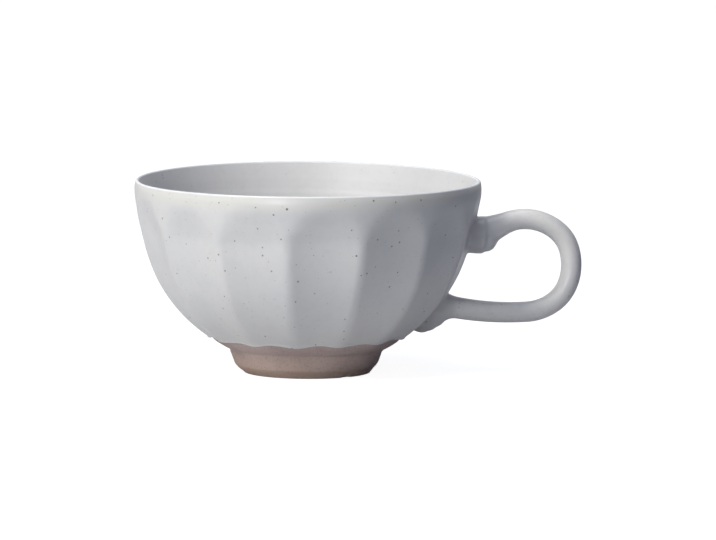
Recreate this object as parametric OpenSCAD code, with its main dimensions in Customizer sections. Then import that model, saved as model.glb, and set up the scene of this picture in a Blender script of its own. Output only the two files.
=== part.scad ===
// Fluted stoneware cappuccino cup with a round loop handle and a bare clay foot.
// Millimetres. The cup stands on z = 0 round the z axis, and the handle reaches out along +x.

/* [Bowl] */
// Outer diameter of the lip
rim_d = 110; // [98:1:122]
// Drop from the crest of the lip to the level where the ball-shaped wall begins
belly_drop = 4.9; // [4:0.1:8]
// Thickness of the glazed wall under the tapered lip
wall_t = 5.2; // [4.6:0.1:6.5]
// Rounding of the outer edge of the lip
lip_out_r = 1.2; // [0.8:0.1:1.6]
// Rounding of the inner edge of the lip
lip_in_r = 1; // [0.8:0.1:2]
// Thickness of the glazed floor over the recess in the foot
floor_t = 4.6; // [3.5:0.1:7]

/* [Flutes] */
// Pairs of flutes carved round the wall
flute_pairs = 7; // [6:1:10]
// Depth of a flute at the middle of its length
flute_depth = 2.7; // [1.5:0.1:3.2]
// Radius of the rounded hollow across a flute
flute_r = 88; // [60:1:120]
// Drop from the crest of the lip to the top of a flute
flute_drop = 4.5; // [3.5:0.1:8]
// Plain clay left between the lower end of a flute and the foot
flute_gap = 3; // [1:0.5:5]

/* [Foot] */
// Diameter of the foot where it meets the bowl
foot_d = 50; // [44:1:56]
// Height of the foot at its outside
foot_h = 7.6; // [6.5:0.1:10]
// How far the side of the foot draws in on its way down
foot_taper = 2.2; // [1:0.1:3]
// Rounding of the outer edge the cup stands on
foot_edge_r = 2.4; // [1:0.1:3]
// Rounding of the inner edge the cup stands on
foot_in_r = 1; // [0.5:0.1:1.5]
// Diameter of the recess inside the foot
recess_d = 33; // [28:1:36]
// Depth of the recess inside the foot
recess_h = 5; // [4.5:0.1:6]

/* [Handle] */
// Diameter of the glazed strap
strap_d = 6.6; // [6:0.1:8.5]
// Radius of the loop along the middle of the strap
loop_r = 14.6; // [13:0.1:17]
// How far past the lip the inner turn of the loop lies, along the middle of the strap
loop_gap = 0.1; // [-1:0.1:4]
// Height of the middle of the loop, as a share of the height of the cup
loop_level = 0.542; // [0.51:0.002:0.58]
// Height of the middle of the upper pad, as a share of the height of the cup
pad_level = 0.7; // [0.66:0.005:0.76]
// Height of the middle of the lower boss, as a share of the height of the cup
boss_level = 0.335; // [0.28:0.005:0.37]
// Radius of the shallow lower arm along its middle
lower_arm_r = 100; // [80:1:140]
// Share of the upper arm that widens towards its pad
flare_share = 0.8; // [0.5:0.05:0.85]
// How much the flare adds to the radius of the upper arm
flare_w = 1.8; // [1:0.1:2.5]
// Radius of the upper pad
pad_r = 5.9; // [5.4:0.1:7]
// How far the upper pad stands off the wall
pad_t = 2.2; // [1.6:0.1:3]
// Rounding of the edge of the upper pad
pad_edge_r = 1; // [0.6:0.1:1.4]
// Radius of the boss that takes the lower arm
boss_r = 4.4; // [4.1:0.1:5.5]
// Radius of the tail smeared down from the boss
tail_r = 3.2; // [2.6:0.1:3.8]
// Glazed wall left between the tip of the tail and the edge of the glaze
tail_gap = 3; // [0.8:0.1:4]
// How far the middle of the tail lies under the face of the wall
tail_sink = 0.8; // [0.2:0.1:1.5]

/* [Coats] */
// Thickness of the fired glaze
glaze_t = 0.5; // [0.3:0.05:0.7]
// Thickness of the slip that joins the handle to the bowl
slip_t = 0.3; // [0.15:0.05:0.3]
// Bare clay left between the foot and the edge of the outer glaze
bare_band = 6.4; // [4:0.1:9]
// Fall of the edge of the outer glaze for each millimetre outward
glaze_fall = 0.25; // [0.05:0.05:0.4]

/* [Hidden] */
$fn = 160;

// How far a cutter runs past the face it opens
spare = 1;
// How much wider a round end or a round joint is than the bar it closes
end_step = 0.2;
joint_step = 0.1;
// Half of the space that a round joint fills between two bars
joint_half = 0.3;
// How far a flute's tool turns on past the point where it leaves the wall
run_out_a = 3;
// Flat width of the crest between the two roundings of the lip
crest_w = 0.2;
// How far the ball of the hollow would reach under the level floor
floor_dip = 0.4;

clay_c = [0.55, 0.47, 0.42];
slip_c = [0.64, 0.57, 0.5];
glaze_c = [0.84, 0.83, 0.79];
handle_c = [0.8, 0.79, 0.76];

rim_r = rim_d / 2;
foot_r = foot_d / 2;
recess_r = recess_d / 2;
strap_r = strap_d / 2;
flute_n = 2 * flute_pairs;
flute_step = 360 / flute_n;

// Wall outside: a ball that comes down to the top of the foot, under a straight band and a rounded lip
belly_z = foot_h + sqrt(rim_r ^ 2 - foot_r ^ 2);
cup_h = belly_z + belly_drop;
wall_o = [0, belly_z];
lip_o = [rim_r - lip_out_r, cup_h - lip_out_r];

// Hollow inside: a ball cut level at the floor, under a cone that runs onto the inner rounding of the lip
floor_z = recess_h + floor_t;
hollow_r = rim_r - wall_t;
hollow_o = [0, floor_z - floor_dip + hollow_r];
mouth_o = [lip_o[0] - crest_w, cup_h - lip_in_r];
taper_dir = aim(heading(mouth_o - hollow_o) - acos((hollow_r + lip_in_r) / norm(mouth_o - hollow_o)));

// Flutes: a round bar bent on one arc that dips into the wall and runs out of it at both ends
flute_top = [rim_r, cup_h - flute_drop];
flute_low_a = -acos((foot_r + flute_gap) / rim_r);
flute_low = wall_o + rim_r * aim(flute_low_a);
flute_mid = wall_o + (rim_r - flute_depth) * aim(flute_low_a / 2);
flute_o = arc_centre(flute_top, flute_mid, flute_low);
flute_path_r = norm(flute_top - flute_o);
flute_end_a = heading(flute_low - flute_o) - run_out_a;
flute_start_a = heading(flute_top - flute_o) + run_out_a;
tool_side = rim_r * sin(flute_step / 2) + 2 * spare;
tool_rise = 3 * flute_depth;

// Glaze: the outer coat ends on a cone, so its edge dips where a ridge stands out
edge_r = foot_r + bare_band;
edge_z = belly_z - sqrt(rim_r ^ 2 - edge_r ^ 2);
crest_r = (lip_o[0] + mouth_o[0]) / 2;

// Handle, drawn in the x-z plane: the upper arm runs from the pad straight onto the loop, and the lower
// arm leaves the loop on a shallow arc that ends in the boss
loop_o = [rim_r + loop_gap + loop_r, loop_level * cup_h];
upper_end = wall_point(pad_level * cup_h);
pad_a = heading(upper_end - wall_o);
upper_arm_a = heading(upper_end - loop_o) - acos(loop_r / norm(upper_end - loop_o));
upper_start = loop_o + loop_r * aim(upper_arm_a);
upper_len = norm(upper_end - upper_start);
upper_dir_a = heading(upper_start - upper_end);
flare_len = flare_share * upper_len;
flare_r = strap_r + flare_w;
flare_arc = (flare_w ^ 2 + flare_len ^ 2) / (2 * flare_w);
boss_at = wall_point(boss_level * cup_h);
boss_a = heading(boss_at - wall_o);
lower_arm_a = heading(loop_o - boss_at) - corner(boss_at, lower_arm_r - loop_r, loop_o, lower_arm_r);
lower_o = loop_o + (loop_r - lower_arm_r) * aim(lower_arm_a);
lower_end_a = heading(boss_at - lower_o);
tail_o = wall_o - [tail_sink, 0];
tail_end_a = degrees(tail_r + end_step + tail_gap, rim_r) - acos(edge_r / rim_r);

function aim(a) = [cos(a), sin(a)];
function heading(v) = atan2(v[1], v[0]);
// Angle that a length takes up on an arc
function degrees(len, r) = len / r * 180 / PI;
function quarter_turn(v) = [-v[1], v[0]];
function area(a, b) = a[0] * b[1] - a[1] * b[0];
// Middle of the arc that runs through three points
function arc_centre(a, b, c) =
  (a + b) / 2 + quarter_turn(b - a) * area((c - a) / 2, quarter_turn(c - b))
    / area(quarter_turn(b - a), quarter_turn(c - b));
// Point of the ball-shaped wall at a height
function wall_point(z) = [sqrt(rim_r ^ 2 - (belly_z - z) ^ 2), z];
// Angle at o, between p and a point that is r away from o and q away from p
function corner(o, r, p, q) = acos((r ^ 2 + norm(p - o) ^ 2 - q ^ 2) / (2 * r * norm(p - o)));

// Stands a shape drawn in the x-y plane up in the x-z plane, at a point of that plane
module upright(at) {
  translate([at[0], 0, at[1]]) rotate([90, 0, 0]) children();
}

// Points the z axis of a solid along an angle in the x-z plane, at a point of that plane
module along(at, a) {
  translate([at[0], 0, at[1]]) rotate([0, 90 - a, 0]) children();
}

// Ball at a point of the x-z plane
module ball(at, r) {
  translate([at[0], 0, at[1]]) sphere(r);
}

// Round bar bent along an arc in the x-z plane
module bent_bar(at, path_r, bar_r, a0, a1) {
  upright(at)
    rotate([0, 0, a0])
      rotate_extrude(angle = a1 - a0)
        translate([path_r, 0]) circle(bar_r);
}

// Outline of the wall outside, with its face set in by a depth and its inside left full
module outer_section(inset) {
  intersection() {
    translate(wall_o) circle(rim_r - inset);
    translate([0, recess_h]) square([rim_r, belly_z - recess_h]);
  }
  translate(wall_o) square([rim_r - inset, lip_o[1] - belly_z]);
  translate([0, lip_o[1]]) square([lip_o[0], lip_out_r - inset]);
  translate(lip_o) intersection() {
    circle(lip_out_r - inset);
    square(lip_out_r);
  }
}

// Outline of the hollow inside, with its face set into the wall by a depth
module hollow_section(inset) {
  low_z = floor_z - inset;
  taper_low = hollow_o + (hollow_r + inset) * taper_dir;
  taper_top = mouth_o - (lip_in_r - inset) * taper_dir;
  intersection() {
    translate(hollow_o) circle(hollow_r + inset);
    translate([0, low_z]) square([rim_r, taper_low[1] - low_z]);
  }
  polygon([[0, floor_z], taper_low, taper_top, [0, cup_h]]);
  difference() {
    translate([0, taper_top[1]]) square([mouth_o[0], cup_h + spare - taper_top[1]]);
    translate(mouth_o) circle(lip_in_r - inset);
  }
}

// The bent bar that carves one flute along +x
module flute(inset) {
  upright(flute_o)
    rotate([0, 0, flute_end_a])
      rotate_extrude(angle = flute_start_a - flute_end_a)
        intersection() {
          translate([flute_path_r + flute_r, 0]) circle(flute_r + inset);
          translate([flute_path_r - tool_rise, -tool_side]) square([2 * tool_rise, 2 * tool_side]);
        }
}

module flute_at(k, inset) {
  rotate([0, 0, (k + 0.5) * flute_step]) flute(inset);
}

// Full fluted body with its face set in by a depth; every other flute is cut first
module body_form(inset) {
  difference() {
    difference() {
      rotate_extrude() outer_section(inset);
      for (k = [0 : 2 : flute_n - 1]) flute_at(k, inset);
    }
    for (k = [1 : 2 : flute_n - 1]) flute_at(k, inset);
  }
}

// The same body with only the two flutes beside the handle
module handle_side_form(inset) {
  difference() {
    difference() {
      rotate_extrude() outer_section(inset);
      flute_at(0, inset);
    }
    flute_at(-1, inset);
  }
}

// Upper pad, its face set in by a depth
module pad_form(inset) {
  r = pad_r - inset;
  t = pad_t - inset;
  edge = pad_edge_r;
  along(upper_end, pad_a)
    rotate_extrude() {
      translate([0, -pad_r]) square([r, pad_r + t - edge]);
      translate([0, t - edge]) square([r - edge, edge]);
      intersection() {
        translate([r - edge, t - edge]) circle(edge);
        translate([r - edge, t - edge]) square(edge);
      }
    }
}

// Straight upper arm with its flare, its face set in by a depth
module upper_arm_form(inset) {
  r = strap_r - inset;
  along(upper_end, upper_dir_a)
    rotate_extrude() {
      translate([0, flare_len]) square([r, upper_len - joint_half - flare_len]);
      difference() {
        square([flare_r - inset, flare_len]);
        translate([strap_r + flare_arc, flare_len]) circle(flare_arc + inset);
      }
    }
}

// The whole strap from pad to boss, its face set in by a depth
module strap_form(inset) {
  r = strap_r - inset;
  joint_a = degrees(joint_half, loop_r);
  upper_arm_form(inset);
  ball(upper_start, r + joint_step);
  bent_bar(loop_o, loop_r, r, lower_arm_a + joint_a, upper_arm_a - joint_a);
  ball(loop_o + loop_r * aim(lower_arm_a), r + joint_step);
  bent_bar(lower_o, lower_arm_r, r, lower_end_a, lower_arm_a - degrees(joint_half, lower_arm_r));
}

// Boss that takes the end of the lower arm, its face set in by a depth
module boss_form(inset) {
  ball(boss_at, boss_r - inset);
}

// Boss and tail at the lower end, their face set in by a depth
module tail_form(inset) {
  boss_form(inset);
  bent_bar(tail_o, rim_r, tail_r - inset, tail_end_a, boss_a);
  ball(tail_o + rim_r * aim(tail_end_a), tail_r + end_step - inset);
}

module bowl() {
  color(clay_c)
    difference() {
      body_form(glaze_t);
      rotate_extrude() hollow_section(glaze_t);
    }
}

module foot_ring() {
  low_r = foot_r - foot_taper;
  edge_o = [low_r - foot_edge_r, foot_edge_r];
  color(clay_c)
    rotate_extrude()
      difference() {
        union() {
          polygon([[edge_o[0], 0], edge_o, [low_r, foot_edge_r], [foot_r, foot_h],
                   [foot_r, foot_h + spare], [recess_r, foot_h + spare], [recess_r, foot_in_r],
                   [recess_r + foot_in_r, foot_in_r], [recess_r + foot_in_r, 0]]);
          translate(edge_o) intersection() {
            circle(foot_edge_r);
            translate([0, -foot_edge_r]) square(foot_edge_r);
          }
          translate([recess_r + foot_in_r, foot_in_r]) intersection() {
            circle(foot_in_r);
            translate([-foot_in_r, -foot_in_r]) square(foot_in_r);
          }
        }
        outer_section(glaze_t);
      }
}

module handle_loop() {
  color(handle_c)
    difference() {
      strap_form(glaze_t);
      pad_form(glaze_t);
      boss_form(glaze_t);
    }
}

module upper_pad() {
  color(handle_c)
    difference() {
      pad_form(glaze_t);
      handle_side_form(glaze_t - slip_t);
    }
}

module lower_tail() {
  color(handle_c)
    difference() {
      tail_form(glaze_t);
      handle_side_form(glaze_t - slip_t);
    }
}

module upper_slip() {
  color(slip_c)
    difference() {
      intersection() {
        pad_form(glaze_t);
        handle_side_form(glaze_t - slip_t);
      }
      handle_side_form(glaze_t);
    }
}

module lower_slip() {
  color(slip_c)
    difference() {
      intersection() {
        tail_form(glaze_t);
        handle_side_form(glaze_t - slip_t);
      }
      handle_side_form(glaze_t);
    }
}

module outer_glaze() {
  reach = rim_r + spare;
  top_z = cup_h + spare;
  low_in = [recess_r, edge_z + glaze_fall * (edge_r - recess_r)];
  low_out = [reach, edge_z - glaze_fall * (reach - edge_r)];
  color(glaze_c)
    difference() {
      intersection() {
        body_form(0);
        rotate_extrude()
          polygon([low_in, low_out, [reach, top_z], [crest_r, top_z], [crest_r, belly_z],
                   [recess_r, belly_z / 2]]);
      }
      body_form(glaze_t);
      pad_form(glaze_t);
      tail_form(glaze_t);
    }
}

module liner_glaze() {
  color(glaze_c)
    rotate_extrude()
      difference() {
        intersection() {
          hollow_section(glaze_t);
          square([crest_r, cup_h]);
        }
        hollow_section(0);
      }
}

module handle_glaze() {
  color(glaze_c)
    difference() {
      union() {
        strap_form(0);
        pad_form(0);
        tail_form(0);
      }
      strap_form(glaze_t);
      pad_form(glaze_t);
      tail_form(glaze_t);
      handle_side_form(0);
    }
}

bowl();
foot_ring();
handle_loop();
upper_pad();
lower_tail();
upper_slip();
lower_slip();
outer_glaze();
liner_glaze();
handle_glaze();
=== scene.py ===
"""Fluted stoneware cappuccino cup, dressed round its solids. Lengths are millimetres until a mesh is made."""
import math

import bpy
import numpy as np
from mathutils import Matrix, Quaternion, Vector


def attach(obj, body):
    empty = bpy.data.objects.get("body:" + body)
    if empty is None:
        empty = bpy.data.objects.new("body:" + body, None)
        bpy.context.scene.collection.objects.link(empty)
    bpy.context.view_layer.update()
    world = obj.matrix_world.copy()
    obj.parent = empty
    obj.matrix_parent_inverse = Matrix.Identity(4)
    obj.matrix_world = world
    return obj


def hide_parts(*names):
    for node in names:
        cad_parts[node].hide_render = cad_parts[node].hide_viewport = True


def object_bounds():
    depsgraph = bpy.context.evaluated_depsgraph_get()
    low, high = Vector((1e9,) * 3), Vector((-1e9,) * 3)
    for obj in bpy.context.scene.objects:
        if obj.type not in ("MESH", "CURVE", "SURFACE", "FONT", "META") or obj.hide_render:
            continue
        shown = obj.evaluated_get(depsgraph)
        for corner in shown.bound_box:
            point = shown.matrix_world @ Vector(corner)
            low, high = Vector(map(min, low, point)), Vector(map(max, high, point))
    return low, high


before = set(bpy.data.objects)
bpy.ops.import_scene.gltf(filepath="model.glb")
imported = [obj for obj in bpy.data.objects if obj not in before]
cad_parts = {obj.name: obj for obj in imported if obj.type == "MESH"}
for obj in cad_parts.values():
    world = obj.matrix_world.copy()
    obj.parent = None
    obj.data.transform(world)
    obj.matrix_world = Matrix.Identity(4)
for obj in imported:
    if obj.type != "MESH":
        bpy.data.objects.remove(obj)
CAD_LO, CAD_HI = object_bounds()
MM = 0.001

# Bowl
CUP_H = CAD_HI.z / MM
RIM_R = CAD_HI.y / MM
BAND_H = 4.9
BALL_Z = CUP_H - BAND_H
WALL_T = 5.2
FLOOR_Z = 9.6
GLAZE_T = 0.5
# Depth of the back of a glaze coat, a hair short of the clay
COAT_BACK = GLAZE_T - 0.01
RECESS_Z = 5.0

# Lip: its outer face leans in on a wide arc and turns over a small one at the crest
LEAN_R = 10.0
LEAN_A = math.radians(14)
TURN_R = 0.52
LEAN_AT = (RIM_R - LEAN_R, CUP_H - TURN_R - (LEAN_R - TURN_R) * math.sin(LEAN_A))
TURN_AT = (LEAN_AT[0] + (LEAN_R - TURN_R) * math.cos(LEAN_A), CUP_H - TURN_R)
WALL_TOP = LEAN_AT[1]
CREST_FLAT = 0.05
CREST_R = TURN_AT[0] - CREST_FLAT
RIM_WARP = 0.4

# Hollow: a ball over a level floor, and a cone that runs onto the inner rounding of the lip
BASIN_R = RIM_R - WALL_T
FLOOR_DIP = 0.4
BASIN_Z = FLOOR_Z - FLOOR_DIP + BASIN_R
LIP_IN_R = 0.55
LIP_IN_AT = (CREST_R - CREST_FLAT, CUP_H - LIP_IN_R)

# Flutes
FLUTES = 14
FLUTE_STEP = 2 * math.pi / FLUTES
FLUTE_R = 76.0
RIDGE_SOFT = 1.2
ARCH_SOFT = 0.9

# Unevenness of the hand-finished wall, and the band under the lip where it fades out
WOBBLE = 0.05
WOBBLE_TOP = 58.0
WOBBLE_FADE = 6.0

# Foot
RECESS_R = 16.5
FOOT_IN_R = 1.0
STAND_R = 19.9

# Turn of the camera round the cup in degrees, and the angle from +X of the side that faces it
CAMERA_AZIMUTH = -6.4
FRONT = math.radians(CAMERA_AZIMUTH - 90)

rng = np.random.default_rng(11)
FLUTE_LEAN = rng.uniform(-0.006, 0.006, FLUTES)
FLUTE_RISE = rng.uniform(-0.35, 0.35, FLUTES)
FLUTE_SCALE = rng.uniform(0.96, 1.04, FLUTES)


def soft_curve(knots, sigma, step=0.05):
    """A function through the knots, with its corners rounded over sigma."""
    x, y = np.array(knots, float).T
    grid = np.arange(x[0] - 6 * sigma, x[-1] + 6 * sigma, step)
    raw = np.interp(grid, x, y)
    raw = np.where(grid < x[0], y[0] + (grid - x[0]) * (y[1] - y[0]) / (x[1] - x[0]), raw)
    raw = np.where(grid > x[-1], y[-1] + (grid - x[-1]) * (y[-1] - y[-2]) / (x[-1] - x[-2]), raw)
    half = int(4 * sigma / step)
    kernel = np.exp(-0.5 * (np.arange(-half, half + 1) * step / sigma) ** 2)
    soft = np.convolve(np.pad(raw, half, mode="edge"), kernel / kernel.sum(), mode="valid")
    return lambda v: np.interp(v, grid, soft)


# How far the plain wall stands off its ball, by height
WALL_SHIFT = soft_curve([(8, 0.2), (11.5, 0.4), (15, 0.6), (19, 0.63), (25, 0.56), (30, 0.38), (35.7, -0.02),
                         (40, -0.24), (45, -0.37), (50, -0.52), (53.5, -0.45), (56, -0.1), (57.4, 0),
                         (62, 0)], 1.2)
# How deep a flute is along its middle, by height
FLUTE_DEPTH = soft_curve([(7.5, -0.9), (9.5, 0.35), (11.5, 0.95), (15.2, 1.4), (22.9, 1.9), (28, 2.15),
                          (35.7, 2.35), (41, 2.45), (44.5, 2.48), (46.3, 2.4), (52.4, 1.1), (57.2, -0.2),
                          (62, -2)], 1.0)


def soft_max(a, b, k):
    """The greater of two fields, blended where they differ by less than k."""
    h = np.maximum(k - np.abs(a - b), 0) / k
    return np.maximum(a, b) + h * h * k / 4


def soft_min(a, b, k):
    return -soft_max(-a, -b, k)


def hollow(k, local, z, r):
    """How far one flute goes under the plain wall, at an angle from its middle."""
    i = np.mod(k, FLUTES).astype(int)
    across = r * (local - FLUTE_LEAN[i])
    return FLUTE_DEPTH(z + FLUTE_RISE[i]) * FLUTE_SCALE[i] - across ** 2 * (1 / FLUTE_R + 1 / r) / 2


def carving(theta, z, r):
    """How far the flutes go under the plain wall."""
    theta = np.mod(theta, 2 * math.pi)
    k = np.floor(theta / FLUTE_STEP)
    local = theta - (k + 0.5) * FLUTE_STEP
    side = np.where(local >= 0, 1, -1)
    own = hollow(k, local, z, r)
    beside = hollow(k + side, local - side * FLUTE_STEP, z, r)
    return soft_max(soft_max(own, beside, RIDGE_SOFT), np.zeros_like(own), ARCH_SOFT)


def wobble(theta, z):
    """Slight unevenness of a hand-finished wall, always inward."""
    waves = 1 + np.sin(3 * theta + 0.09 * z + 1) * 0.6 + np.sin(5 * theta - 0.13 * z) * 0.4
    return WOBBLE * waves * np.clip((WOBBLE_TOP - z) / WOBBLE_FADE, 0, 1)


def wall(theta, z, inset):
    """Radius and height of the carved wall at heights under the lip."""
    a = np.arcsin(np.clip((z - BALL_Z) / RIM_R, -1, 0))
    r = RIM_R * np.cos(a)
    out = WALL_SHIFT(z) - carving(theta, z, r) - wobble(theta, z) - inset
    return r + out * np.cos(a), z + out * np.sin(a)


def lip(theta, b, inset):
    """Radius and height of the outer face of the lip, b from 0 at the wall to a right angle at the crest."""
    at, radius = (TURN_AT, TURN_R) if b > LEAN_A else (LEAN_AT, LEAN_R)
    z = np.full_like(theta, at[1] + (radius - inset) * math.sin(b))
    cut = carving(theta, z, np.full_like(theta, RIM_R)) - WALL_SHIFT(z)
    return at[0] + (radius - inset - cut) * math.cos(b), z


# Angles of the rows of points on the lip, from the crest down to the wall
LIP_TURNS = np.concatenate([np.linspace(math.pi / 2, LEAN_A + 0.01, 10), np.linspace(LEAN_A, 0, 14)[:-1]])

# Lower edge of the outer glaze: its base height, and how far it rises by turn from the front in degrees
EDGE_Z = 10.75
EDGE_TREND = soft_curve([(-200, 0.4), (-90, 0.55), (-52, 0.35), (-30, 0.1), (0, 0.3), (30, 0.5), (60, 0.85),
                         (90, 0.8), (200, 0.4)], 12, 1.0)


def glaze_edge(theta):
    """Height of the lower edge of the outer glaze: it runs lower on the ridges."""
    turn = np.degrees(np.angle(np.exp(1j * (theta - FRONT))))
    ridge = np.cos(FLUTES * theta)
    waves = 0.08 * np.sin(9 * theta + 2) + 0.04 * np.sin(23 * theta) - 0.08 * ridge
    return EDGE_Z + EDGE_TREND(turn) + waves


def round_angles(n):
    return np.arange(n) * 2 * math.pi / n


def ring(theta, r, z):
    """Points of a ring round the axis; fired out of true, the rim sits a little lower at both sides."""
    theta, r, z = np.broadcast_arrays(theta, r, z)
    warp = RIM_WARP * np.cos(theta) ** 2 * np.clip(z / CUP_H, 0, 1) ** 3
    return np.stack([r * np.cos(theta), r * np.sin(theta), z - warp], -1)


NO_TRIS = np.zeros((0, 3), int)
# Radius of the ring of points next to a pole on the axis
POLE_RING = 0.6


def build_mesh(name, verts, quads, tris=NO_TRIS):
    """A smooth mesh in metres from points in millimetres."""
    mesh = bpy.data.meshes.new(name)
    mesh.vertices.add(len(verts))
    mesh.vertices.foreach_set("co", (verts * MM).astype(np.float32).ravel())
    corners = np.concatenate([quads.ravel(), tris.ravel()]).astype(np.int32)
    mesh.loops.add(len(corners))
    mesh.loops.foreach_set("vertex_index", corners)
    counts = np.concatenate([np.full(len(quads), 4), np.full(len(tris), 3)])
    starts = (np.cumsum(counts) - counts).astype(np.int32)
    mesh.polygons.add(len(counts))
    mesh.polygons.foreach_set("loop_start", starts)
    mesh.update(calc_edges=True)
    mesh.validate()
    mesh.polygons.foreach_set("use_smooth", np.ones(len(mesh.polygons), bool))
    return mesh


def lathe(name, rows, closed=False, poles=None, sharp=()):
    """A mesh from rings of points.

    closed joins the last ring to the first, poles are the heights of end points on the axis, and sharp lists
    the rings that keep a hard edge.
    """
    n, m, _ = rows.shape
    index = np.arange(n * m).reshape(n, m)
    if closed:
        index = np.vstack([index, index[:1]])
    a, b = index[:-1], index[1:]
    quads = np.stack([a, b, np.roll(b, -1, 1), np.roll(a, -1, 1)], -1).reshape(-1, 4)
    verts = rows.reshape(-1, 3)
    tris = NO_TRIS
    if poles is not None:
        first, last = n * m, n * m + 1
        verts = np.vstack([verts, [[0, 0, poles[0]], [0, 0, poles[1]]]])
        top, low = index[0], index[-1]
        tris = np.vstack([np.stack([np.full(m, first), top, np.roll(top, -1)], -1),
                          np.stack([low, np.full(m, last), np.roll(low, -1)], -1)])
    mesh = build_mesh(name, verts, quads, tris)
    if sharp:
        marked = np.zeros(len(verts), int) - 1
        for i in sharp:
            marked[(i % n) * m:(i % n + 1) * m] = i % n
        ends = np.zeros(len(mesh.edges) * 2, np.int32)
        mesh.edges.foreach_get("vertices", ends)
        ends = marked[ends.reshape(-1, 2)]
        mesh.edges.foreach_set("use_edge_sharp", (ends[:, 0] >= 0) & (ends[:, 0] == ends[:, 1]))
    return mesh


def piece(name, mesh, nodes, material):
    """Add one visible piece in place of the named nodes."""
    obj = bpy.data.objects.new(name, mesh)
    bpy.context.scene.collection.objects.link(obj)
    mesh.materials.append(material)
    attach(obj, "root")
    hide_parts(*nodes)


# Materials
class Nodes:
    """Short way to add shader nodes to the emptied tree of a material or world."""

    def __init__(self, owner):
        owner.use_nodes = True
        self.owner = owner
        self.tree = owner.node_tree
        self.tree.nodes.clear()

    def add(self, kind, inputs=None, **props):
        node = self.tree.nodes.new("ShaderNode" + kind)
        for key, value in props.items():
            setattr(node, key, value)
        for key, value in (inputs or {}).items():
            self.put(node.inputs[key], value)
        return node

    def put(self, socket, value):
        if isinstance(value, bpy.types.NodeSocket):
            self.tree.links.new(value, socket)
        else:
            socket.default_value = value

    def math(self, operation, *values):
        node = self.add("Math", operation=operation)
        for socket, value in zip(node.inputs, values):
            self.put(socket, value)
        return node.outputs[0]

    def step(self, value, lo, hi, to_lo=0.0, to_hi=1.0):
        inputs = {"Value": value, "From Min": lo, "From Max": hi, "To Min": to_lo, "To Max": to_hi}
        return self.add("MapRange", inputs, interpolation_type="SMOOTHSTEP").outputs[0]

    def mix(self, factor, a, b):
        node = self.add("Mix", data_type="RGBA")
        for key, value in (("Factor_Float", factor), ("A_Color", a), ("B_Color", b)):
            self.put(next(s for s in node.inputs if s.identifier == key), value)
        return next(s for s in node.outputs if s.identifier == "Result_Color")

    def noise(self, vector, scale, detail=2.0, rough=0.5):
        inputs = {"Vector": vector, "Scale": scale, "Detail": detail, "Roughness": rough}
        return self.add("TexNoise", inputs).outputs["Fac"]

    def position(self):
        return self.add("NewGeometry").outputs["Position"]


def srgb(r, g, b):
    """A colour for a shader from its values out of 255."""
    def linear(c):
        c /= 255
        return c / 12.92 if c <= 0.04045 else ((c + 0.055) / 1.055) ** 2.4
    return (linear(r), linear(g), linear(b), 1.0)


def specks(n, at, cell, lo, hi, chance):
    """Mask of round specks, one at most in each cell, some cells left empty."""
    cells = n.add("TexVoronoi", {"Vector": at, "Scale": 1 / (cell * MM), "Randomness": 1.0})
    parts = n.add("SeparateColor", {"Color": cells.outputs["Color"]}).outputs
    radius = n.step(parts[0], 1 - chance, 1.0, lo / cell, hi / cell)
    full = n.math("GREATER_THAN", parts[0], 1 - chance)
    inner = n.math("MULTIPLY", radius, 0.45)
    cover = n.step(cells.outputs["Distance"], radius, inner)
    return n.math("MULTIPLY", cover, full)


# Larger iron specks: turn from the camera's side in degrees, height, width
IRON_SPECKS = [(-6.5, 57.6, 1.0), (22.2, 60.0, 0.8), (23.1, 60.7, 0.55), (30.2, 59.2, 0.6),
               (40.3, 59.3, 0.7), (25.0, 47.4, 0.75), (34.4, 46.0, 0.75), (17.3, 42.5, 0.85),
               (19.7, 36.1, 0.6), (-19.8, 33.0, 0.6), (-16.9, 51.0, 0.6), (9.8, 31.1, 0.75),
               (27.0, 28.0, 0.6), (65.7, 38.9, 0.7), (11.3, 26.1, 0.6), (-30.0, 58.8, 0.55)]


def iron_mask(n, at):
    """Mask of the larger specks on the wall, each a soft ball round its own point."""
    total = None
    for turn, z, width in IRON_SPECKS:
        theta = np.array([FRONT + math.radians(turn)])
        r = wall(theta, np.array([min(z, WALL_TOP)]), 0.0)[0]
        spot = (float(r[0] * math.cos(theta[0])) * MM, float(r[0] * math.sin(theta[0])) * MM, z * MM)
        gap = n.add("VectorMath", {0: at, 1: spot}, operation="DISTANCE").outputs["Value"]
        mark = n.step(gap, 0.5 * width * MM, 0.25 * width * MM)
        total = mark if total is None else n.math("MAXIMUM", total, mark)
    return total


# Tones of the glaze, with a painted shade for the pad and a painted highlight for the crest
FLECK = srgb(196, 194, 190)
PAD_SHADE = srgb(200, 200, 202)
RIM_CREAM = srgb(214, 212, 202)
RIM_TAN = srgb(214, 203, 180)
CREST_HIGHLIGHT = srgb(233, 233, 233)
SMALL_SPECK = srgb(148, 130, 112)
MIDDLE_SPECK = srgb(112, 92, 74)
IRON = srgb(84, 70, 58)
# Middle of the painted shade round the upper pad, standing for the bowl's shadow on it, and where it begins
# and is full
PAD_SHADE_AT = (53.3, 42.5)
PAD_SHADE_R = (8.5, 4.5)
# Heights over which the cream of the rim sets in, and over which its tan blotches come and go
RIM_CREAM_Z = (55.6, 58.4)
RIM_TAN_LOW = (57.2, 58.6)
RIM_TAN_HIGH = (60.6, 59.6)
# Depths under the crest of the lip over which its painted highlight, a pale line, sets in
CREST_HIGHLIGHT_DEPTHS = (0.55, 0.2)


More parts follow.
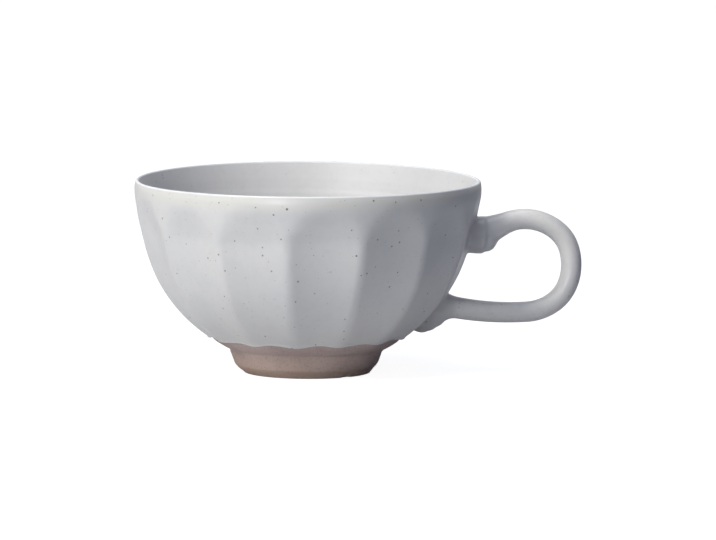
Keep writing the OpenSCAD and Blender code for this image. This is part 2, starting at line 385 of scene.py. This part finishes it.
def crest_highlight_mask(n, at):
    """Mask of the painted highlight along the crest of the lip: a thin pale line that follows the warp of the
    rim.
    """
    x, y, z = n.add("SeparateXYZ", {0: at}).outputs
    x2, y2 = n.math("MULTIPLY", x, x), n.math("MULTIPLY", y, y)
    side = n.math("DIVIDE", x2, n.math("ADD", n.math("ADD", x2, y2), 1e-9))
    level = n.math("ADD", z, n.math("MULTIPLY", side, RIM_WARP * MM))
    return n.step(level, *((CUP_H - d) * MM for d in CREST_HIGHLIGHT_DEPTHS))


def glaze_material(name, thin, thick, rough, speckle, rim_tint=False, iron=False, pad_shade=False):
    """Speckled glaze; rough is the least and the greatest roughness, speckle the strength of its specks."""
    n = Nodes(bpy.data.materials.new(name))
    at = n.position()
    height = n.add("SeparateXYZ", {0: at}).outputs["Z"]
    cloud = n.noise(at, 38, 3)
    fine = n.noise(at, 420, 3, 0.6)
    colour = n.mix(n.step(cloud, 0.35, 0.68), thick, thin)
    colour = n.mix(n.step(fine, 0.42, 0.72, 0, 0.18), colour, FLECK)
    # Painted shade: the glaze darkens round the upper pad, where the bowl's shadow falls
    if pad_shade:
        shade_middle = (PAD_SHADE_AT[0] * MM, 0.0, PAD_SHADE_AT[1] * MM)
        away = n.add("VectorMath", {0: at, 1: shade_middle}, operation="DISTANCE").outputs["Value"]
        colour = n.mix(n.step(away, PAD_SHADE_R[0] * MM, PAD_SHADE_R[1] * MM, 0, 0.75), colour, PAD_SHADE)
    if rim_tint:
        drift = n.math("MULTIPLY", n.math("SUBTRACT", n.noise(at, 60, 2), 0.5), 3.0 * MM)
        band = n.step(n.math("ADD", height, drift), RIM_CREAM_Z[0] * MM, RIM_CREAM_Z[1] * MM, 0, 0.5)
        colour = n.mix(band, colour, RIM_CREAM)
        streak = n.add("Mapping", {"Vector": at, "Scale": (1.0, 1.0, 4.0)}).outputs[0]
        blotch = n.step(n.noise(streak, 95, 2), 0.55, 0.75, 0, 0.45)
        low = n.step(height, *(z * MM for z in RIM_TAN_LOW))
        high = n.step(height, *(z * MM for z in RIM_TAN_HIGH))
        colour = n.mix(n.math("MULTIPLY", blotch, n.math("MULTIPLY", low, high)), colour, RIM_TAN)
    # Painted highlight: a pale line along the crest of the lip
    colour = n.mix(crest_highlight_mask(n, at), colour, CREST_HIGHLIGHT)
    small = n.math("MULTIPLY", specks(n, at, 1.5, 0.1, 0.26, 0.55), 0.5 * speckle)
    middle = n.math("MULTIPLY", specks(n, at, 2.7, 0.14, 0.42, 0.6), 0.8 * speckle)
    colour = n.mix(small, colour, SMALL_SPECK)
    colour = n.mix(middle, colour, MIDDLE_SPECK)
    if iron:
        colour = n.mix(n.math("MULTIPLY", iron_mask(n, at), 0.85), colour, IRON)
    satin = n.step(n.noise(at, 150, 2), 0.3, 0.75, *rough)
    grain = n.math("ADD", n.math("MULTIPLY", n.noise(at, 900, 3), 0.6), n.noise(at, 190, 2))
    bump = n.add("Bump", {"Strength": 0.12, "Distance": 0.12 * MM, "Height": grain}).outputs[0]
    shader = n.add("BsdfPrincipled", {"Base Color": colour, "Roughness": satin, "Normal": bump, "IOR": 1.5})
    n.add("OutputMaterial", {"Surface": shader.outputs[0]})
    return n.owner


# Tones of the bare clay, and the heights over which it turns browner toward the floor
LOW_BROWN = srgb(182, 156, 132)
LOW_BROWN_Z = (6.0, 0.5)
GRIT = srgb(116, 98, 88)
DARK_GRAIN = srgb(96, 80, 70)
PALE_GRAIN = srgb(196, 178, 160)


def clay_material(name, pale, deep):
    """Matt fired clay with grit, grains and fine turning lines."""
    n = Nodes(bpy.data.materials.new(name))
    at = n.position()
    height = n.add("SeparateXYZ", {0: at}).outputs["Z"]
    cloud = n.noise(at, 70, 3)
    grit = n.noise(at, 1500, 4, 0.65)
    colour = n.mix(n.step(cloud, 0.32, 0.7), deep, pale)
    colour = n.mix(n.step(height, LOW_BROWN_Z[0] * MM, LOW_BROWN_Z[1] * MM, 0, 0.4), colour, LOW_BROWN)
    colour = n.mix(n.step(grit, 0.45, 0.75, 0, 0.35), colour, GRIT)
    colour = n.mix(n.math("MULTIPLY", specks(n, at, 1.3, 0.1, 0.2, 0.45), 0.5), colour, DARK_GRAIN)
    colour = n.mix(n.math("MULTIPLY", specks(n, at, 1.9, 0.1, 0.25, 0.35), 0.45), colour, PALE_GRAIN)
    turned = n.add("Mapping", {"Vector": at, "Scale": (0.05, 0.05, 1.0)}).outputs[0]
    lines = n.noise(turned, 1400, 3, 0.6)
    relief = n.math("ADD", n.math("MULTIPLY", lines, 0.2), grit)
    bump = n.add("Bump", {"Strength": 0.25, "Distance": 0.15 * MM, "Height": relief}).outputs[0]
    shader = n.add("BsdfPrincipled", {"Base Color": colour, "Normal": bump,
                                      "Roughness": n.step(grit, 0.3, 0.8, 0.82, 0.95)})
    shader.inputs["Specular IOR Level"].default_value = 0.25
    n.add("OutputMaterial", {"Surface": shader.outputs[0]})
    return n.owner


OUTER_GLAZE = glaze_material("outer_glaze", srgb(213, 212, 209), srgb(206, 206, 204), (0.28, 0.38), 1.0,
                             rim_tint=True, iron=True)
LINER_GLAZE = glaze_material("liner_glaze", srgb(215, 214, 211), srgb(209, 208, 206), (0.46, 0.56), 0.5)
# The handle's glaze is lighter than the bowl's: painted light, standing in for light that the bowl's shadow
# keeps off the handle
HANDLE_GLAZE = glaze_material("handle_glaze", srgb(227, 225, 219), srgb(221, 219, 216), (0.3, 0.4), 0.45,
                              pad_shade=True)
BODY_CLAY = clay_material("body_clay", srgb(196, 178, 172), srgb(180, 162, 157))
FOOT_CLAY = clay_material("foot_clay", srgb(205, 184, 173), srgb(189, 168, 157))
HANDLE_CLAY = clay_material("handle_clay", srgb(164, 146, 132), srgb(146, 128, 118))
SLIP = clay_material("joint_slip", srgb(176, 160, 146), srgb(160, 144, 130))


# Outer glaze: a thin coat from the crest over the lip and the flutes to a rounded lower edge
EDGE_ROUND = 0.5
ROLL_T = 0.22
ROLL_UP = 0.75
ROLL_W = 0.4
# Share of the way down the wall from which the rows of points stand closer
FINE_FROM = 0.955


def coat_thickness(up):
    """Thickness of the outer glaze by its distance above the lower edge, with a slight roll along it."""
    round_edge = np.sqrt(1 - (1 - np.clip(up / EDGE_ROUND, 0, 1)) ** 2)
    roll = ROLL_T * np.exp(-((up - ROLL_UP) / ROLL_W) ** 2)
    return (GLAZE_T + roll) * round_edge


def outer_coat():
    theta = round_angles(FLUTES * 36)
    edge = glaze_edge(theta)
    rows = [ring(theta, CREST_R, CUP_H)]
    rows += [ring(theta, *lip(theta, b, 0.0)) for b in LIP_TURNS]
    shares = np.concatenate([np.linspace(0, FINE_FROM, 96), np.linspace(FINE_FROM, 1, 19)[1:]])
    for share in shares:
        z = WALL_TOP + (edge - WALL_TOP) * share
        slope = np.cos(np.arcsin(np.clip((z - BALL_Z) / RIM_R, -1, 0)))
        thick = coat_thickness((z - edge) / slope)
        rows.append(ring(theta, *wall(theta, z, GLAZE_T - thick)))
    edge_row = len(rows) - 1
    for share in np.linspace(1, 0, 49)[1:]:
        rows.append(ring(theta, *wall(theta, WALL_TOP + (edge - WALL_TOP) * share, COAT_BACK)))
    rows += [ring(theta, *lip(theta, b, COAT_BACK)) for b in LIP_TURNS[::-1]]
    rows.append(ring(theta, CREST_R, CUP_H - COAT_BACK))
    return lathe("outer_glaze_coat", np.array(rows), closed=True, sharp=(0, -1, edge_row))


# Glaze inside: a thin coat from the crest to the floor, with faint rings from throwing.
# Each set of rings has its height, its spacing and its turns; both fade out near the lip and the middle.
THROWN_RINGS = [(0.07, 5.2, 1), (0.04, 2.3, 2)]
PLAIN_TOP = 3.0
TOP_FADE = 12.0
MIDDLE_FADE = 6.0


def mouth_profile(inset, n_wall):
    """Points from the middle of the floor up to the crest; inset goes into the wall."""
    ball, edge = BASIN_R + inset, LIP_IN_R - inset
    low = FLOOR_Z - inset
    span = (LIP_IN_AT[0], LIP_IN_AT[1] - BASIN_Z)
    cone_a = math.atan2(span[1], span[0]) - math.acos((BASIN_R + LIP_IN_R) / math.hypot(*span))
    floor_a = math.asin((low - BASIN_Z) / ball)
    floor = [(r, low) for r in np.linspace(POLE_RING, ball * math.cos(floor_a), 6)[:-1]]
    side = [(ball * math.cos(a), BASIN_Z + ball * math.sin(a)) for a in np.linspace(floor_a, cone_a, n_wall)]
    turn = [(LIP_IN_AT[0] - edge * math.cos(b), LIP_IN_AT[1] - edge * math.sin(b))
            for b in np.linspace(cone_a, -math.pi / 2, 12)]
    cone = [tuple(p) for p in np.linspace(side[-1], turn[0], n_wall // 3)[1:-1]]
    return np.array(floor + side + cone + turn)


def liner_coat():
    theta = round_angles(FLUTES * 24)
    face = mouth_profile(0.0, 110)
    back = mouth_profile(COAT_BACK, 40)
    along = np.concatenate([[0], np.cumsum(np.hypot(*np.diff(face, axis=0).T))])
    tangent = np.gradient(face, axis=0)
    normal = np.stack([-tangent[:, 1], tangent[:, 0]], -1) / np.hypot(*tangent.T)[:, None]
    rows = []
    for (r, z), s, (nr, nz) in zip(face, along, normal):
        fade = np.clip((along[-1] - s - PLAIN_TOP) / TOP_FADE, 0, 1) * np.clip(s / MIDDLE_FADE, 0, 1)
        rise = fade * sum(h * np.sin(2 * math.pi * s / gap - k * theta) for h, gap, k in THROWN_RINGS)
        rows.append(ring(theta, r + nr * rise, z + nz * rise))
    rows.append(ring(theta, CREST_R, CUP_H))
    crest_row = len(rows) - 1
    rows.append(ring(theta, CREST_R, CUP_H - COAT_BACK))
    rows += [ring(theta, r, z) for r, z in back[::-1]]
    return lathe("liner_glaze_coat", np.array(rows), poles=(FLOOR_Z, FLOOR_Z - COAT_BACK),
                 sharp=(crest_row, crest_row + 1))


# Clay of the bowl, seen bare between the glaze and the foot and as the ceiling of the recess.
# The bare band stands out from the clay under the glaze, and the ceiling has faint turning rings.
BARE_STEP = 0.25
BARE_UNDER = 0.2
BARE_RUN = 0.8
# Height and spacing of the rings on the ceiling, the radius of its edge and the radius where they begin
CEILING_RING = (0.07, 1.9)
CEILING_R = RECESS_R + 1.0
RINGED_R = RECESS_R + 0.4
# Heights between which the rows of points on the wall stand closer; the second is the lowest row
CLAY_FINE_Z = (13, 7)


def bowl_clay():
    theta = round_angles(FLUTES * 18)
    rows = [ring(theta, r, z) for r, z in mouth_profile(GLAZE_T, 60)]
    rows.append(ring(theta, CREST_R, CUP_H - GLAZE_T))
    rows += [ring(theta, *lip(theta, b, GLAZE_T)) for b in LIP_TURNS]
    for z in np.concatenate([np.linspace(WALL_TOP, CLAY_FINE_Z[0], 70), np.linspace(*CLAY_FINE_Z, 30)[1:]]):
        bare = BARE_STEP * np.clip((glaze_edge(theta) - BARE_UNDER - z) / BARE_RUN, 0, 1)
        rows.append(ring(theta, *wall(theta, np.full_like(theta, z), GLAZE_T - bare)))
    rows.append(ring(theta, CEILING_R, RECESS_Z))
    for r in np.linspace(RINGED_R, POLE_RING, 42):
        wave = np.sin(2 * math.pi * r / CEILING_RING[1] + theta) - 1
        rows.append(ring(theta, r, RECESS_Z + CEILING_RING[0] * wave))
    return lathe("bowl_clay", np.array(rows), poles=(FLOOR_Z - GLAZE_T, RECESS_Z - CEILING_RING[0]))


# Turned foot ring: its swell, how far it sits off the middle, and a nick in its lower edge
FOOT_SWELL = 0.1
FOOT_OFF = 0.33
NICK_AT = FRONT + math.radians(38)
NICK_D = 0.5
NICK_TURN = 3.2
NICK_H = 1.1
NICK_LIFT = 0.7
NICK_FROM_R = STAND_R - 1
# Radius of the foot by height: a broad chamfer at the floor, a sloping side and a fillet under the bowl
FOOT_SIDE = soft_curve([(-1.0, 18.8), (0.0, STAND_R), (2.7, 22.65), (7.5, 24.4), (9.2, 27.1)], 0.55)
FOOT_SIDE_Z = (8.9, 0.25)
# Soft corner beside the standing face, the outer radius of that face, how far the inner side runs past the
# ceiling, and the corners of the upper face, which lies inside the bowl
STAND_CORNER = (STAND_R + 0.1, 0.06)
STAND_FLAT_R = STAND_R - 0.4
RECESS_OVER = 0.3
FOOT_UPPER = [(RECESS_R + 3.0, 6.4), (RECESS_R + 6.0, 7.6)]
# Turning lines: height, spacing, turns and start of each set
TURNING_LINES = [(0.02, 1.7, 1, 0), (0.03, 3.9, -1, 1)]
# Only the side outside this radius is uneven, and less so near the floor and its top
UNEVEN_R = RECESS_R + 3.5
UNEVEN_TOP = 8.0
UNEVEN_RUN = 1.5


def foot_clay():
    theta = round_angles(FLUTES * 24)
    section = [(float(FOOT_SIDE(z)), z) for z in np.linspace(*FOOT_SIDE_Z, 48)]
    section.append(STAND_CORNER)
    section += [(r, 0.0) for r in np.linspace(STAND_FLAT_R, RECESS_R + FOOT_IN_R, 6)]
    for b in np.radians(np.linspace(-90, -180, 8)[1:]):
        section.append((RECESS_R + FOOT_IN_R + FOOT_IN_R * math.cos(b), FOOT_IN_R + FOOT_IN_R * math.sin(b)))
    section += [(RECESS_R, z) for z in np.linspace(FOOT_IN_R, RECESS_Z + RECESS_OVER, 10)[1:]]
    section += FOOT_UPPER
    rows = []
    for r, z in section:
        lines = sum(h * np.sin(2 * math.pi * z / gap + k * theta + a) for h, gap, k, a in TURNING_LINES)
        slack = np.clip(min(z, UNEVEN_TOP - z) / UNEVEN_RUN, 0, 1) if r > UNEVEN_R else 0.0
        uneven = FOOT_SWELL * np.sin(2 * theta + 0.4) * slack - FOOT_OFF * np.sin(theta - FRONT)
        turn = np.degrees(np.angle(np.exp(1j * (theta - NICK_AT))))
        nick = NICK_D * np.exp(-(turn / NICK_TURN) ** 2) * np.exp(-(z / NICK_H) ** 2)
        nick = nick * (1.0 if r > NICK_FROM_R else 0.0)
        rows.append(ring(theta, r - nick + (lines + uneven) * slack, z + nick * NICK_LIFT))
    return lathe("foot_clay", np.array(rows), closed=True)


# Handle: one smooth form, written as a distance field and meshed
LOOP_AT = (69.66, 33.35)
LOOP_R = 14.62
# How far the pulled loop strays from its circle, by angle in degrees
LOOP_STRAY = soft_curve([(-130, 0.3), (-95, 0.3), (-75, 0.24), (-60, 0.28), (-45, 0.4), (-30, 0.28),
                         (-14, 0.1), (0, 0.0), (12, 0.08), (30, 0.34), (45, 0.27), (60, 0.1), (75, 0.05),
                         (90, 0.12), (105, 0.28), (120, 0.4), (150, 0.4)], 5, 0.5)
STRAP_R = 3.27
STRAP_UNEVEN = 0.025
PAD_AT = (53.3, 43.2)
PAD_R = 5.85
PAD_FACE_X = 56.5
PAD_EDGE = 1.1
PAD_TIP = math.radians(-3)
# Root of the upper arm, and the angle on the loop near which the arm leaves it
ROOT_AT = (53.3, 42.8)
UPPER_NEAR = 120
# Clay pushed under the root of the upper arm: two points and their radius
HEEL = ((54.0, 41.0), (56.9, 41.2), 3.4)
# Smeared tail: angle round the middle of the bowl's ball, height over the ball and radius
TAIL = [(-40.5, 0.9, 4.2), (-44.0, 0.9, 3.95), (-46.6, 0.6, 3.6), (-48.6, 0.2, 3.1), (-49.7, -0.2, 2.4)]


def upper_line():
    """Straight upper arm: from its root in the pad to the point where it runs onto the loop."""
    d = np.array(ROOT_AT) - LOOP_AT
    r = LOOP_R + float(LOOP_STRAY(UPPER_NEAR))
    a = math.atan2(d[1], d[0]) - math.acos(r / np.hypot(*d))
    return a, (LOOP_AT[0] + r * math.cos(a), LOOP_AT[1] + r * math.sin(a))


UPPER_A, UPPER_ON = upper_line()
UPPER_LEN = math.hypot(UPPER_ON[0] - ROOT_AT[0], UPPER_ON[1] - ROOT_AT[1])
# Radius of the strap by its distance from the root of the upper arm
FLARE_END = 30
FLARE = soft_curve([(0, 4.4), (2.0, 4.8), (3.7, 4.85), (7.6, 3.95), (11.0, 3.4), (14.5, STRAP_R),
                    (FLARE_END, STRAP_R)], 0.7)
# Lower arm: a wide arc from the loop to the wall, which swells toward its end
LOWER_R = 95.0
LOWER_ON = -86.8
LOWER_A = math.radians(LOWER_ON)
# Distance from the middle of the loop to the middle of this arc, along its first radius
LOWER_IN = LOOP_R + float(LOOP_STRAY(LOWER_ON)) - LOWER_R
LOWER_AT = (LOOP_AT[0] + LOWER_IN * math.cos(LOWER_A), LOOP_AT[1] + LOWER_IN * math.sin(LOWER_A))
LOWER_END_A = math.radians(-105.5)
LOWER_SWELL = 0.35
# How softly the pieces run into each other
HEEL_BLEND = 1.2
PAD_BLEND = 0.8
TAIL_BLEND = 2.2
TAIL_STEP_BLEND = 0.3
WALL_BLEND = 1.0
# The coat on the wall: its lift over the face, how far it may reach and how deep it goes in
SKIRT_LIFT = 0.03
SKIRT_REACH = 1.6
SKIRT_SINK = 0.25
CORE_SINK = 0.05
# Corners of the box that is meshed
HANDLE_LO = (30.0, -8.0, 8.0)
HANDLE_HI = (90.0, 8.0, 54.0)


def arc_gap(p, at, radius, a0, a1, stray=None):
    """Distance from points to an arc in the x-z plane, and the angle of the nearest point on it."""
    mid = (a0 + a1) / 2
    a = np.arctan2(p[:, 2] - at[1], p[:, 0] - at[0]) - mid
    a = np.clip(np.mod(a + math.pi, 2 * math.pi) - math.pi, a0 - mid, a1 - mid) + mid
    radius = radius + stray(np.degrees(a)) if stray else radius
    near_x, near_z = at[0] + radius * np.cos(a), at[1] + radius * np.sin(a)
    return np.sqrt((p[:, 0] - near_x) ** 2 + (p[:, 2] - near_z) ** 2 + p[:, 1] ** 2), a


def line_gap(p, start, end):
    """Distance from points to a line in the x-z plane, and how far along it the nearest point lies."""
    d = np.array(end) - start
    length = np.hypot(*d)
    d = d / length
    t = np.clip((p[:, 0] - start[0]) * d[0] + (p[:, 2] - start[1]) * d[1], 0, length)
    gap = np.sqrt((p[:, 0] - start[0] - d[0] * t) ** 2 + (p[:, 2] - start[1] - d[1] * t) ** 2 + p[:, 1] ** 2)
    return gap, t


def wall_field(p):
    """Distance from points near the handle to the outer face of the bowl."""
    rho = np.hypot(p[:, 0], p[:, 1])
    theta = np.arctan2(p[:, 1], p[:, 0])
    q = np.hypot(rho, p[:, 2] - BALL_Z)
    z = BALL_Z + RIM_R * np.minimum((p[:, 2] - BALL_Z) / q, 0)
    r = np.sqrt(np.maximum(RIM_R ** 2 - (z - BALL_Z) ** 2, 1))
    return q - (RIM_R + WALL_SHIFT(z) - carving(theta, z, r) - wobble(theta, z))


def pad_field(p):
    """Distance from points to the upper pad: a tipped disc with a rounded edge."""
    x, z = p[:, 0] - PAD_AT[0], p[:, 2] - PAD_AT[1]
    u = x * math.cos(PAD_TIP) + z * math.sin(PAD_TIP)
    v = np.hypot(-x * math.sin(PAD_TIP) + z * math.cos(PAD_TIP), p[:, 1])
    side, face = v - PAD_R + PAD_EDGE, u - (PAD_FACE_X - PAD_AT[0]) + PAD_EDGE
    outside = np.hypot(np.maximum(side, 0), np.maximum(face, 0))
    return outside + np.minimum(np.maximum(side, face), 0) - PAD_EDGE


def tail_field(p):
    """Distance from points to the smeared tail: tapered lengths run into each other."""
    points = [(RIM_R + off, math.radians(a), r) for a, off, r in TAIL]
    flat = [((d * math.cos(a), BALL_Z + d * math.sin(a)), r) for d, a, r in points]
    tail = None
    for (start, r0), (end, r1) in zip(flat, flat[1:]):
        gap, t = line_gap(p, start, end)
        length = math.hypot(end[0] - start[0], end[1] - start[1])
        part = gap - r0 - (r1 - r0) * t / length
        tail = part if tail is None else soft_min(tail, part, TAIL_STEP_BLEND)
    return tail


def handle_field(p):
    """Distance from points to the plain handle, without the wall."""
    loop, a = arc_gap(p, LOOP_AT, LOOP_R, LOWER_A, UPPER_A, LOOP_STRAY)
    t = UPPER_LEN + LOOP_R * (UPPER_A - a)
    loop = loop - FLARE(np.minimum(t, FLARE_END)) - STRAP_UNEVEN * np.sin(3.1 * a + 1)
    arm, t = line_gap(p, ROOT_AT, UPPER_ON)
    arm = arm - FLARE(t)
    lower, a = arc_gap(p, LOWER_AT, LOWER_R, LOWER_END_A, LOWER_A)
    swell = np.clip((LOWER_A - a) / (LOWER_A - LOWER_END_A), 0, 1)
    lower = lower - STRAP_R - LOWER_SWELL * swell ** 2
    heel = line_gap(p, *HEEL[:2])[0] - HEEL[2]
    strap = np.minimum(np.minimum(loop, soft_min(arm, heel, HEEL_BLEND)), lower)
    return soft_min(soft_min(strap, pad_field(p), PAD_BLEND), tail_field(p), TAIL_BLEND)


def coat_field(p):
    """Distance to the glazed face of the handle, run softly onto the wall."""
    plain = handle_field(p)
    wall_gap = wall_field(p)
    filleted = soft_min(plain, wall_gap + SKIRT_LIFT, WALL_BLEND)
    return np.maximum(np.maximum(filleted, plain - SKIRT_REACH), -(wall_gap + SKIRT_SINK))


def core_field(p):
    """Distance to the face of the clay under the glaze of the handle."""
    return np.maximum(handle_field(p) + GLAZE_T, -(wall_field(p) + CORE_SINK))


def net(field, lo, hi, cell):
    """Points and faces on the zero level of a field: one in each crossed cell, then drawn onto the level."""
    axes = [np.arange(a, b + cell, cell) for a, b in zip(lo, hi)]
    shape = tuple(len(a) for a in axes)
    grid = np.stack(np.meshgrid(*axes, indexing="ij"), -1).reshape(-1, 3)
    values = np.concatenate([field(part) for part in np.array_split(grid, 24)]).reshape(shape)
    cells = tuple(s - 1 for s in shape)
    total = np.zeros(cells + (3,))
    count = np.zeros(cells)
    corner = [(i, j, k) for i in (0, 1) for j in (0, 1) for k in (0, 1)]

    def at(c):
        return values[c[0]:c[0] + cells[0], c[1]:c[1] + cells[1], c[2]:c[2] + cells[2]]

    for c in corner:
        for axis in range(3):
            if c[axis]:
                continue
            d = tuple(v + (i == axis) for i, v in enumerate(c))
            f0, f1 = at(c), at(d)
            crossed = (f0 < 0) != (f1 < 0)
            share = np.where(crossed, f0 / np.where(crossed, f0 - f1, 1), 0)
            for i in range(3):
                total[..., i] += np.where(crossed, c[i] + (share if i == axis else 0), 0)
            count += crossed
    used = count > 0
    number = np.full(cells, -1)
    number[used] = np.arange(used.sum())
    where = np.argwhere(used)
    points = np.array(lo) + (where + total[used] / count[used][:, None]) * cell
    quads = []
    for axis in range(3):
        o1, o2 = [i for i in range(3) if i != axis]
        near, far = [slice(1, -1)] * 3, [slice(1, -1)] * 3
        near[axis], far[axis] = slice(0, -1), slice(1, None)
        f0, f1 = values[tuple(near)], values[tuple(far)]
        hit = np.argwhere((f0 < 0) != (f1 < 0))
        inside = (f0 < 0)[tuple(hit.T)]
        base = hit + 1
        base[:, axis] -= 1
        ring4 = []
        for s1, s2 in ((0, 0), (1, 0), (1, 1), (0, 1)):
            cell_at = base.copy()
            cell_at[:, o1] -= 1 - s1
            cell_at[:, o2] -= 1 - s2
            ring4.append(number[tuple(cell_at.T)])
        ring4 = np.stack(ring4, -1)
        flip = inside if axis != 1 else ~inside
        quads.append(np.where(flip[:, None], ring4, ring4[:, ::-1]))
    probe = 0.02
    for _ in range(3):
        f = field(points)
        rise = np.stack([field(points + probe * e) - field(points - probe * e) for e in np.eye(3)], -1)
        slope = rise / (2 * probe)
        move = -f[:, None] * slope / np.maximum((slope ** 2).sum(-1, keepdims=True), 0.2)
        reach = np.linalg.norm(move, axis=-1, keepdims=True)
        points = points + move * np.minimum(1, 0.4 * cell / np.maximum(reach, 1e-9))
    return points, np.concatenate(quads)


def handle_coat(cell):
    """The glaze of the handle: its outer face, and the face on the clay turned to look inward."""
    points, quads = net(coat_field, HANDLE_LO, HANDLE_HI, cell)
    inner, inner_quads = net(core_field, HANDLE_LO, HANDLE_HI, cell)
    return build_mesh("handle_glaze_coat", np.vstack([points, inner]),
                      np.vstack([quads, inner_quads[:, ::-1] + len(points)]))


piece("outer_glaze_coat", outer_coat(), ["outer_glaze"], OUTER_GLAZE)
piece("liner_glaze_coat", liner_coat(), ["liner_glaze"], LINER_GLAZE)
piece("bowl_clay", bowl_clay(), ["bowl"], BODY_CLAY)
piece("foot_clay", foot_clay(), ["foot_ring"], FOOT_CLAY)
HANDLE_CELL = 0.25
piece("handle_glaze_coat", handle_coat(HANDLE_CELL), ["handle_glaze"], HANDLE_GLAZE)
for node, material in (("handle_loop", HANDLE_CLAY), ("upper_pad", HANDLE_CLAY), ("lower_tail", HANDLE_CLAY),
                       ("upper_slip", SLIP), ("lower_slip", SLIP)):
    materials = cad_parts[node].data.materials
    materials.clear()
    materials.append(material)


# The camera's right and near sides on the floor
azimuth = math.radians(CAMERA_AZIMUTH)
RIGHT = Vector((math.cos(azimuth), math.sin(azimuth), 0))
NEAR = Vector((math.sin(azimuth), -math.cos(azimuth), 0))


# Floor and surroundings: white to the camera, plain to the light and darker at the right
def seen(n, glossy):
    """1 for rays that should meet a white background, and the given share for reflections."""
    path = n.add("LightPath").outputs
    mirrored = n.math("MULTIPLY", path["Is Glossy Ray"], glossy)
    direct = n.math("MAXIMUM", path["Is Camera Ray"], mirrored)
    return n.math("MAXIMUM", direct, path["Is Transmission Ray"])


# Tones of the floor under the light, and the places across it, in metres, where one runs into the next
GROUND_LEFT = (0.73, 0.73, 0.73, 1.0)
GROUND_NEAR = (0.55, 0.55, 0.56, 1.0)
GROUND_RIGHT = (0.2, 0.21, 0.26, 1.0)
LEFT_TO_NEAR = (-0.08, 0.03)
NEAR_TO_RIGHT = (0.09, 0.15)
# What the camera sees: a faint floor that takes the shadow, and a glow that makes it white
FAINT = (0.35, 0.35, 0.35, 1.0)
GLOW = 0.94
# Half diagonal of the floor, and its height a hair under the foot
GROUND_R = 9000.0
GROUND_Z = -0.05
WHITE = (1.0, 1.0, 1.0, 1.0)
floor_n = Nodes(bpy.data.materials.new("floor_white"))
across = floor_n.add("VectorMath", {0: floor_n.position(), 1: RIGHT}, operation="DOT_PRODUCT")
across = across.outputs["Value"]
floor_tone = floor_n.mix(floor_n.step(across, *LEFT_TO_NEAR), GROUND_LEFT, GROUND_NEAR)
floor_tone = floor_n.mix(floor_n.step(across, *NEAR_TO_RIGHT), floor_tone, GROUND_RIGHT)
plain = floor_n.add("BsdfDiffuse", {"Color": floor_tone}).outputs[0]
faint = floor_n.add("BsdfDiffuse", {"Color": FAINT}).outputs[0]
glow = floor_n.add("Emission", {"Color": WHITE, "Strength": GLOW}).outputs[0]
white = floor_n.add("AddShader", {0: faint, 1: glow}).outputs[0]
floor_look = floor_n.add("MixShader", {0: seen(floor_n, 0.3), 1: plain, 2: white}).outputs[0]
floor_n.add("OutputMaterial", {"Surface": floor_look})
corners = np.radians((45, 135, 225, 315))
floor_points = [[GROUND_R * math.cos(a), GROUND_R * math.sin(a), GROUND_Z] for a in corners]
floor_mesh = build_mesh("floor", np.array(floor_points), np.array([[0, 1, 2, 3]]))
floor = bpy.data.objects.new("floor", floor_mesh)
floor_mesh.materials.append(floor_n.owner)
bpy.context.scene.collection.objects.link(floor)

world = bpy.data.worlds.new("studio")
bpy.context.scene.world = world
world_n = Nodes(world)
AMBIENT = (0.014, 0.026, 0.08, 1.0)
ambient = world_n.add("Background", {"Color": AMBIENT, "Strength": 1.0}).outputs[0]
backdrop = world_n.add("Background", {"Color": WHITE, "Strength": 1.0}).outputs[0]
world_look = world_n.add("MixShader", {0: seen(world_n, 1.0), 1: ambient, 2: backdrop}).outputs[0]
world_n.add("OutputWorld", {"Surface": world_look})

# Camera slightly above the rim, and lights placed by the camera's left and front, at distances in metres
TARGET = Vector((15.87, -1.8, 32.44)) * MM
DISTANCE = 3.0
ELEVATION = math.radians(6.55)
ROLL = math.radians(0.27)
BACK = NEAR * math.cos(ELEVATION) + Vector((0, 0, math.sin(ELEVATION)))
camera = bpy.data.objects.new("camera", bpy.data.cameras.new("camera"))
bpy.context.scene.collection.objects.link(camera)
camera.location = TARGET + BACK * DISTANCE
camera.rotation_mode = "QUATERNION"
camera.rotation_quaternion = (-BACK).to_track_quat("-Z", "Y") @ Quaternion((0, 0, 1), ROLL)
camera.data.sensor_width = 36
camera.data.lens = 475.7
camera.data.clip_end = 40
bpy.context.scene.camera = camera

# Place on the cup's axis that the lights face
LIT_AT = Vector((0, 0, 35)) * MM


def area_light(name, toward_camera, rise, distance, size, power, colour):
    """A soft light at the left, turned toward the camera and raised by angles in degrees."""
    t, e = math.radians(toward_camera), math.radians(rise)
    way = (-RIGHT * math.cos(t) + NEAR * math.sin(t)) * math.cos(e) + Vector((0, 0, math.sin(e)))
    light = bpy.data.lights.new(name, "AREA")
    light.shape = "DISK"
    light.size = size
    light.energy = power
    light.color = colour
    lamp = bpy.data.objects.new(name, light)
    bpy.context.scene.collection.objects.link(lamp)
    lamp.location = LIT_AT + way * distance
    lamp.rotation_mode = "QUATERNION"
    lamp.rotation_quaternion = (-way).to_track_quat("-Z", "Y")
    lamp.visible_camera = False


area_light("key", toward_camera=42, rise=42, distance=1.6, size=0.9, power=21.4, colour=(1.0, 0.985, 0.955))
area_light("front", toward_camera=71, rise=4, distance=1.6, size=0.5, power=7.4, colour=(0.88, 0.92, 0.98))
area_light("top", toward_camera=40, rise=88, distance=1.4, size=0.9, power=5.5, colour=(0.92, 0.96, 1.04))

bpy.context.scene.view_settings.view_transform = "Standard"
